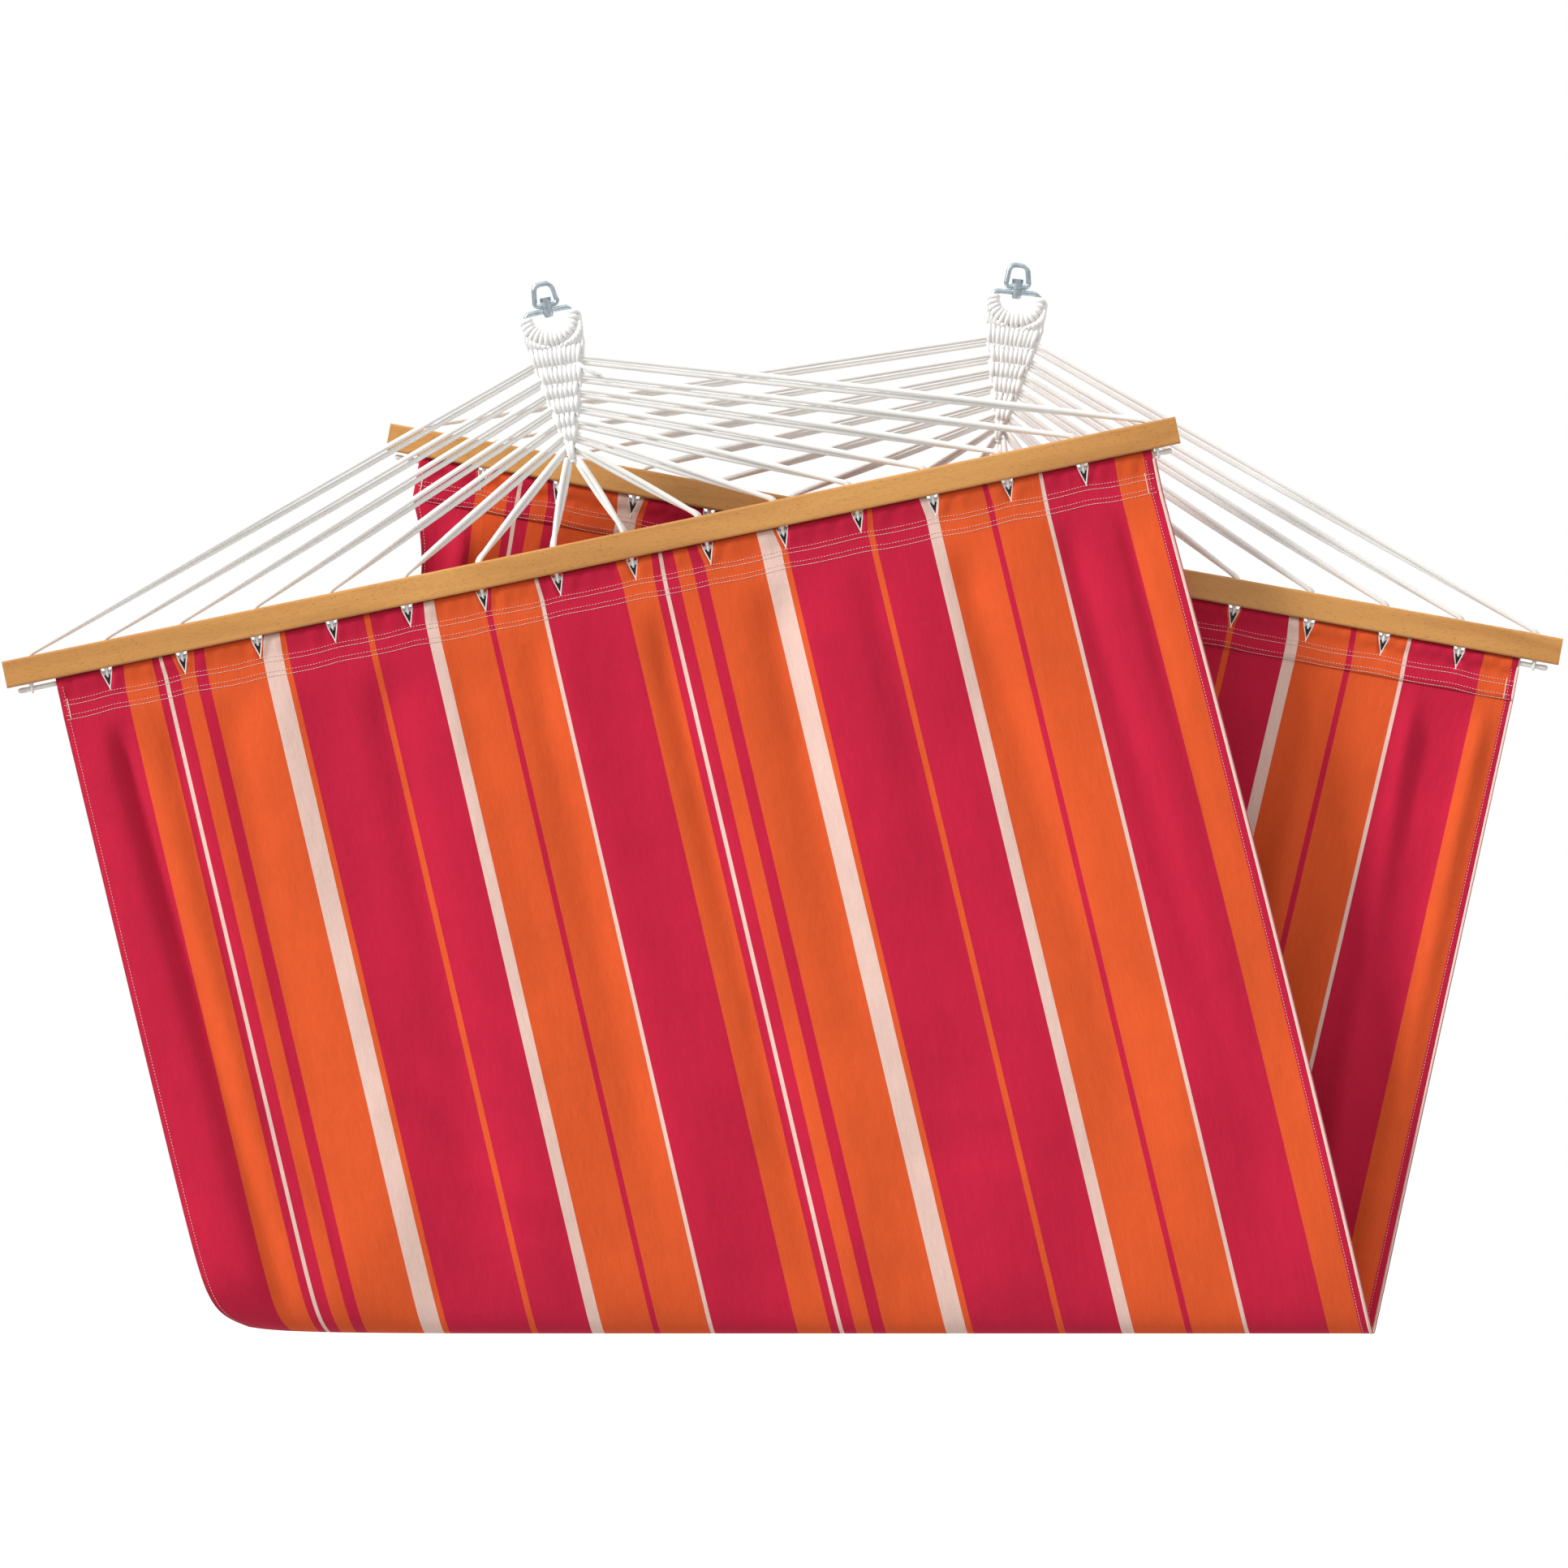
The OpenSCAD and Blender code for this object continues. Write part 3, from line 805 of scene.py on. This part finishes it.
def drape(end, flat, down, whole):
    """Long soft folds of the hanging cloth, outward, with down the distance under the hem. The
    sizes of the waves are in millimetres and their pitches in metres."""
    phase = 1.9 if end == "rear" else 0.0
    turn = 2 * np.pi
    across = flat - 0.03 * down
    folds = 2.4 * np.sin(across * turn / 0.192 + phase) + 2.0 * np.sin(across * turn / 0.117)
    broad = 5.0 * np.sin(flat * turn / 0.43 + phase + 1.2 * np.sin(down * 3.5))
    low = 2.6 * np.sin((flat + 0.35 * down) * turn / 0.21 + phase) * smooth((down - 0.35) / 0.4)
    waves = folds * np.exp(-down / 0.4) + broad * smooth(down / 0.25) * 0.7 + low
    for at, lean, wide, deep, long in GROOVES[end]:
        place = (flat - at - lean * down) / (wide * (1 + 0.8 * down))
        waves = waves - 1.4 * deep * np.exp(-(place**2)) * np.exp(-((down / long) ** 2))
    if end == "front":
        waves = waves + wrinkles(flat, down)
    return waves * MM * smooth(down / 0.07) * smooth((whole - down) / 0.10)


def fold_size(flat):
    """The catenary's size at the fold, which hangs open at the bed's left edge."""
    return (10.5 + 15 * np.exp(-flat / 0.2)) * MM


def layer_out(d):
    """How far the hem's outer or inner layer is from the hanging plane at depth d under the bar."""
    least = 0.75 * MM
    return least + (TUNNEL_HALF - least) * (1 - smooth((d - CORD_DROP) / (SLIT_END - CORD_DROP)))


def hem_point(end, flat, d, out, side=0.0):
    """A place on the hem: out is outward, away from the other half. Gathers part the two layers
    near the cord, and move them together lower down."""
    along = hem_along(end, flat) + slit_push(end, flat, side, d)
    together = smooth((d - 28 * MM) / (12 * MM))
    outward = together + (1 - together) * np.clip(out / TUNNEL_HALF, -1, 1)
    return BAR[end].point(along, WAY[end] * (out + pleats(end, flat, d) * outward), d)


def edge_pull(end, flat, t, height, whole):
    """How far the left edge is drawn to the right: at the fold, and under the rear hem. The right
    edge of the front bows out a little."""
    reach, round_up = 0.077, 0.014
    corner = 42 * MM * np.exp(-flat / reach) / (1 + (height / round_up) ** 1.5)
    if end == "front":
        bulge = 5 * MM * np.sin(np.pi * t) * np.exp(-(FLAT_WIDTH - flat) / 0.1)
        return corner + bulge
    reach, deepest_at = 0.075, 0.25
    down = t * whole / deepest_at
    return corner + 52 * MM * np.exp(-flat / reach) * down * np.exp(1 - down) * (1 - t)


def main_point(end, flat, t):
    """A place on the hanging half, from the hem's end at t 0 to the fold at t 1. At the fold the
    cloth is a catenary, which turns softly into the upright halves."""
    flat, t = np.broadcast_arrays(np.asarray(flat, float), t)
    top = BAR[end].point(hem_along(end, flat), 0.0, HEM_END)
    size = fold_size(flat)
    low_z = FOLD_Z + 8.5 * MM * np.exp(-flat / 0.085)
    whole = np.sqrt((top[..., 2] - low_z + size) ** 2 - size**2)
    s = whole * (1 - t)
    height = np.sqrt(size**2 + s**2) - size
    pull = edge_pull(end, flat, t, height, whole)
    x = top[..., 0] + (np.interp(flat, FLAT_PLACES, FOLD_PLACES) - top[..., 0]) * t + pull
    fuller, soft = 1.15, 3 * MM
    wide = fuller * size * np.arcsinh(s / size)
    away = -soft * np.log(np.exp(-wide / soft) + np.exp(-HALF_GAP / soft))
    away += soft * np.log(1 + np.exp(-HALF_GAP / soft)) + drape(end, flat, whole * t, whole)
    if end == "rear":
        away = away - 0.4 * pull * smooth(height / 0.1)
    return np.stack([x, MIDDLE_Y + WAY[end] * away, low_z + height], -1)


# Angles round the tunnel, and depths of the rows of points down the hem's inner and outer layers
ARC = np.radians(np.linspace(-80, 80, 7))
FLAP_DOWN = np.array([24, 28, 32, 36, 40, 44, 50, 58, 65, 72]) * MM
FRONT_DOWN = np.array([24, 27, 30, 33, 36, 39, 42, 45, 49, 54, 60, 66, 72]) * MM


def half_rows(end, flat, side):
    """Points of half the cloth, a row each from the flap's end, over the cord, to the fold."""
    rows = []
    for d in FLAP_DOWN[::-1]:
        rows.append(hem_point(end, flat, d, -layer_out(d), side))
    for angle in ARC:
        d = CORD_DROP - TUNNEL_RISE * np.cos(angle)
        rows.append(hem_point(end, flat, d, TUNNEL_HALF * np.sin(angle), side))
    for d in FRONT_DOWN:
        rows.append(hem_point(end, flat, d, layer_out(d), side))
    for t in (1 - np.cos(np.pi * np.linspace(0, 1, 52)[1:])) / 2:
        rows.append(main_point(end, flat, t))
    rows = np.array(rows)
    middle = rows[:, rows.shape[1] // 2]
    laid = np.concatenate([[0], np.cumsum(np.linalg.norm(np.diff(middle, axis=0), axis=1))])
    return rows, laid


def cloth_columns():
    """Flat places across the cloth, each with a side: slits' edges are pairs at one place."""
    count, clear = 236, 2.2 * MM
    slits = np.concatenate([slit_flats(end) for end in ENDS])
    columns = [(f, 0.0) for f in np.linspace(0, FLAT_WIDTH, count)
               if np.min(np.abs(slits - f)) > clear]
    for slit in slits:
        columns += [(float(slit), -1.0), (float(slit), 1.0)]
    return sorted(columns)


def make_cloth():
    """The bed's cloth and its length when flat. A slit is a gap between a pair of columns, and
    its edges are joined where the slit has closed."""
    flat, side = np.array(cloth_columns()).T
    front, front_laid = half_rows("front", flat, side)
    rear, rear_laid = half_rows("rear", flat, side)
    points = np.concatenate([front, rear[-2::-1]])
    laid = np.concatenate([front_laid, front_laid[-1] + rear_laid[-1] - rear_laid[-2::-1]])
    rows, across = points.shape[:2]
    i, j = np.meshgrid(np.arange(rows - 1), np.arange(across - 1), indexing="ij")
    pair = (side[:-1] < 0) & (side[1:] > 0)
    i, j = i[:, ~pair], j[:, ~pair]
    k = i * across + j
    faces = np.stack([k, k + 1, k + across + 1, k + across], -1).reshape(-1, 4)
    u, v = flat + CUT_AT, laid
    uvs = np.stack([u[j], v[i], u[j + 1], v[i], u[j + 1], v[i + 1], u[j], v[i + 1]], -1)
    shape = Shape()
    shape.add(points.reshape(-1, 3), faces[:, ::-1], uvs.reshape(-1, 4, 2)[:, ::-1])
    cloth = shape.make("bed_cloth", CLOTH)
    mesh = bmesh.new()
    mesh.from_mesh(cloth.data)
    bmesh.ops.remove_doubles(mesh, verts=mesh.verts, dist=0.02 * MM)
    mesh.to_mesh(cloth.data)
    mesh.free()
    thick = cloth.modifiers.new("thickness", "SOLIDIFY")
    thick.thickness, thick.offset = CLOTH_T, 0.0
    apply_modifiers(cloth)
    return cloth, laid[-1]


def apply_modifiers(obj):
    """Gives obj the mesh that its modifiers make, in place of them."""
    seen = obj.evaluated_get(bpy.context.evaluated_depsgraph_get())
    mesh = bpy.data.meshes.new_from_object(seen)
    obj.modifiers.clear()
    obj.data = mesh


def normals_of(end, flat, t, face):
    """Directions out of the cloth's outer face (face 1) or inner face (-1) along main_point."""
    small = 1e-4
    left, right = np.clip(flat - small, 0, FLAT_WIDTH), np.clip(flat + small, 0, FLAT_WIDTH)
    above, below = np.clip(t - small, 0, 1), np.clip(t + small, 0, 1)
    across = main_point(end, right, t) - main_point(end, left, t)
    down = main_point(end, flat, below) - main_point(end, flat, above)
    return unit(np.cross(across, down)) * -WAY[end] * face


def edge_line(flat, face):
    """A line along the whole cloth at one place across it, from hem to hem, with its normals."""
    points, normals = [], []
    for end in ENDS:
        t = 1 - (1 - np.linspace(0, 1, 220)) ** 1.5
        there = np.full(len(t), flat)
        p, n = main_point(end, there, t), normals_of(end, there, t, face)
        d = np.linspace(HEM_END, CORD_DROP + 6 * MM, 12)[1:]
        hem = hem_point(end, there[:1], d, face * layer_out(d))
        p = np.concatenate([hem[::-1], p])
        n = np.concatenate([np.repeat([[0, WAY[end] * face, 0.0]], len(d), 0), n])
        points.append(p if end == "front" else p[-2::-1])
        normals.append(n if end == "front" else n[-2::-1])
    return np.concatenate(points), np.concatenate(normals)


def make_hem_stitching(end):
    """Four stitch lines on each face of the hem, bent round its slits, and a tack at each end."""
    flat = np.linspace(0.004, FLAT_WIDTH - 0.004, 900)
    outward = np.array([0, WAY[end], 0.0])
    stitches, above = Shape(), 0.2 * MM
    lifted = sum(np.exp(-(((flat - slit) / 0.022) ** 2)) for slit in slit_flats(end))
    for i, d in enumerate(HEM_STITCHES):
        wander = MM * (1.1 - 1.6 * lifted + 0.6 * np.sin(flat * 23 + 0.4 * i) + 0.3 * np.sin(flat * 61))
        stitch, gap = (2.3 * MM, 1.5 * MM) if i % 2 == 0 else (3.3 * MM, 0.4 * MM)
        for face in (-1, 1):
            out = face * (layer_out(d) + CLOTH_T / 2)
            line = hem_point(end, flat, d + wander, out)
            normals = np.broadcast_to(outward * face, line.shape)
            dashes(stitches, line + normals * above, normals, stitch, gap, 0.3 * MM, 0.38 * MM)
    for at in (0.009, FLAT_WIDTH - 0.015):
        for face in (-1, 1):
            d = np.linspace(45, 70, 30) * MM
            tack = hem_point(end, np.full(30, at), d, face * (layer_out(d) + CLOTH_T / 2 + above))
            tube(stitches, tack, 0.65 * MM, 6)
    return stitches.make(f"{end}_hem_stitching", THREAD)


def make_piping(end):
    """White piping along both lips of each slit, with a bar tack under it on each face."""
    piping = Shape()
    for slit in slit_flats(end):
        for side in (-1, 1):
            add_lip(piping, end, slit, side)
        d = SLIT_END + np.array([-2.5, 0, 1.5]) * MM
        for face in (-1, 1):
            out = face * (layer_out(SLIT_END) + CLOTH_T / 2)
            tube(piping, hem_point(end, np.full(3, slit), d, out), 1.0 * MM, 6)
    return piping.make(f"{end}_slit_piping", PIPING)


def make_hem_details(end):
    """One hem's stitching, piping and dark sheets of painted shade in its slits."""
    shade_sheets = make_slit_shade_sheets(end)
    pieces = [make_hem_stitching(end), make_piping(end), shade_sheets]
    for piece in pieces:
        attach(piece, f"{end}_bed")
    return pieces


def add_lip(shape, end, slit, side):
    """Piping along one lip of a slit: up one layer, over the hem's top and down the other."""
    d = np.linspace(SLIT_END, 25 * MM, 12)
    down = np.concatenate([d, CORD_DROP - (TUNNEL_RISE - LIP_SINK) * np.cos(ARC[::-1]), d[::-1]])
    out = np.concatenate([layer_out(d), TUNNEL_HALF * np.sin(ARC[::-1]), -layer_out(d[::-1])])
    tube(shape, hem_point(end, np.full(len(down), slit), down, out, side), LIP_R, 6)


def make_slit_shade_sheets(end):
    """Dark sheets inside the hem, which show through its slits: painted shade for the shadowed inside
    of the tunnel.
    """
    shape, spare, thin = Shape(), 2.5 * MM, 0.025
    for slit in slit_flats(end):
        d = np.linspace(26.5 * MM, SLIT_END + 1 * MM, 6)
        middle = hem_point(end, np.full(6, slit), d, 0.0)
        half = slit_opening(d) + spare
        tube(shape, middle, half, 12, flatten=thin, first=BAR[end].right, tip=0.05)
    return shape.make(f"{end}_slit_shade_sheets", SLIT_SHADE)


def make_edge_details():
    """Stitches down both side edges, the cream binding on the right one, and rolled edges."""
    stitches = Shape()
    for flat in (7 * MM, FLAT_WIDTH - 11 * MM):
        for face in (-1, 1):
            line, normals = edge_line(flat, face)
            dashes(stitches, line + normals * CLOTH_T / 2, normals, 2.4 * MM, 1.6 * MM,
                   0.25 * MM, 0.36 * MM)
    binding, rolled = Shape(), Shape()
    for face in (-1, 1):
        line, normals = edge_line(FLAT_WIDTH - 2.2 * MM, face)
        tube(binding, line + normals * 0.2 * MM, 2.2 * MM, 8, flatten=0.5, first=ACROSS)
    for flat, radius, thin in ((FLAT_WIDTH, 0.7 * MM, 1.2), (0.8 * MM, 1.1 * MM, 0.9)):
        tube(rolled, edge_line(flat, 1)[0], radius, 8, flatten=thin, first=ACROSS)
    edges = [stitches.make("edge_stitching", THREAD), binding.make("edge_binding", BINDING),
             rolled.make("rolled_edges", ROLLED)]
    for piece in edges:
        fold_with_bed(piece)
    return edges


def fold_with_bed(piece):
    """Bakes the piece's transform into its mesh."""
    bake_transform(piece)


def make_hem_cords():
    """The cord in each hem, with whipped ends just inside the ends of the bar."""
    reach, whipping, turns = 736 * MM, 8 * MM, 4
    coil_r, twine_r = 2.9 * MM, 0.8 * MM
    for end in ENDS:
        bar, shape = BAR[end], Shape()
        tube(shape, bar.point(np.linspace(-reach, reach, 170), 0.0, CORD_DROP), CORD_R, 12)
        for side in (-1, 1):
            turn = np.linspace(0, turns * 2 * np.pi, 70)
            along = side * (reach - 9 * MM + turn / turn[-1] * whipping)
            coil = bar.point(along, coil_r * np.cos(turn), CORD_DROP + coil_r * np.sin(turn))
            tube(shape, coil, twine_r, 6)
        cord = shape.make(f"{end}_drawn_cord", ROPE)
        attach(cord, f"{end}_bed")
        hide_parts(f"{end}_hem_cord")


def dress_frame():
    """Materials of the CAD nodes that stay in view."""
    for end in ENDS:
        for part, material in (("eye", ZINC), ("ring", ZINC), ("swivel_pin", PIN_ZINC),
                               ("spreader_bar", beech_material(end))):
            node = frame["nodes"][f"{end}_{part}"]
            node.data.materials.clear()
            node.data.materials.append(material)


# ---- Studio ----


def studio():
    """A white room: pale surroundings, a plain floor, two soft lamps and the camera."""
    scene = bpy.context.scene
    scene.view_settings.view_transform = "Standard"
    world = bpy.data.worlds.new("studio")
    world.use_nodes = True
    scene.world = world
    light_sky(world.node_tree, low=0.38, high=1.10)
    add_floor(scene)
    add_lamps(scene)
    add_camera(scene)


def add_floor(scene):
    """A floor that the camera sees as almost white, and that lights the object less than that."""
    floor_z, wide = -1.75, 14.0
    mesh = bpy.data.meshes.new("floor")
    corners = [(-wide, -wide, floor_z), (wide, -wide, floor_z), (wide, wide, floor_z),
               (-wide, wide, floor_z)]
    mesh.from_pydata(corners, [], [(0, 1, 2, 3)])
    floor = bpy.data.objects.new("floor", mesh)
    scene.collection.objects.link(floor)
    pale = Nodes("pale_floor", (0.45, 0.45, 0.45), 0.9, Specular_IOR_Level=0.0)
    pale.set("Emission Color", (1.0, 1.0, 1.0))
    straight = pale.add("ShaderNodeLightPath")
    pale.set("Emission Strength", pale.maths("MULTIPLY", straight, 0.60))
    mesh.materials.append(pale.material)


def add_lamps(scene):
    for name, at, spread, power in (("key", (-4.5, -2.5, 3.1), 13, 3.05),
                                    ("back", (2.4, 4.2, 3.0), 40, 1.3)):
        light = bpy.data.lights.new(name, "SUN")
        light.angle, light.energy = np.radians(spread), power
        lamp = bpy.data.objects.new(name, light)
        lamp.location = at
        aim_at(lamp, (0, 0, 0))
        scene.collection.objects.link(lamp)


def add_camera(scene):
    """A long lens straight at the front, with frame_width metres of the object's plane in view."""
    distance, frame_width = 18.2, 1.963
    across, up = 0.3023, -0.6228
    camera = bpy.data.cameras.new("camera")
    camera.lens = camera.sensor_width * distance / frame_width
    camera.clip_end = 100
    view = bpy.data.objects.new("camera", camera)
    view.location = (across, -distance, up)
    aim_at(view, (across, 0, up))
    scene.collection.objects.link(view)
    scene.camera = view


def light_sky(tree, low, high):
    """Surroundings that the camera sees as white, and that light the object more from above."""
    background = tree.nodes["Background"]
    background.inputs["Color"].default_value = (1, 1, 1, 1)
    place = tree.nodes.new("ShaderNodeSeparateXYZ")
    where = tree.nodes.new("ShaderNodeTexCoord").outputs["Generated"]
    tree.links.new(where, place.inputs[0])
    lit = tree.nodes.new("ShaderNodeMapRange")
    for socket, value in (("From Min", -0.2), ("From Max", 0.8), ("To Min", low), ("To Max", high)):
        lit.inputs[socket].default_value = value
    tree.links.new(place.outputs["Z"], lit.inputs["Value"])
    straight = tree.nodes.new("ShaderNodeLightPath").outputs["Is Camera Ray"]
    seen = tree.nodes.new("ShaderNodeMapRange")
    seen.inputs["To Max"].default_value = 1.0
    tree.links.new(straight, seen.inputs["Value"])
    tree.links.new(lit.outputs["Result"], seen.inputs["To Min"])
    tree.links.new(seen.outputs["Result"], background.inputs["Strength"])


def aim_at(obj, target):
    ahead = Vector(target) - obj.location
    obj.rotation_mode = "QUATERNION"
    obj.rotation_quaternion = ahead.to_track_quat("-Z", "Y")


# ---- Assembly ----

rng = np.random.default_rng(11)
dress_frame()
make_ropes()
for end in ENDS:
    make_weave(end, rng)
    make_head(end, rng)
make_hem_cords()
cloth, length = make_cloth()
details = [piece for end in ENDS for piece in make_hem_details(end)] + make_edge_details()
fold_with_bed(cloth)
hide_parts(*[f"bed_{end}_{part}" for end in ENDS
                     for part in ("hem", "upper", "middle", "lower")])
studio()
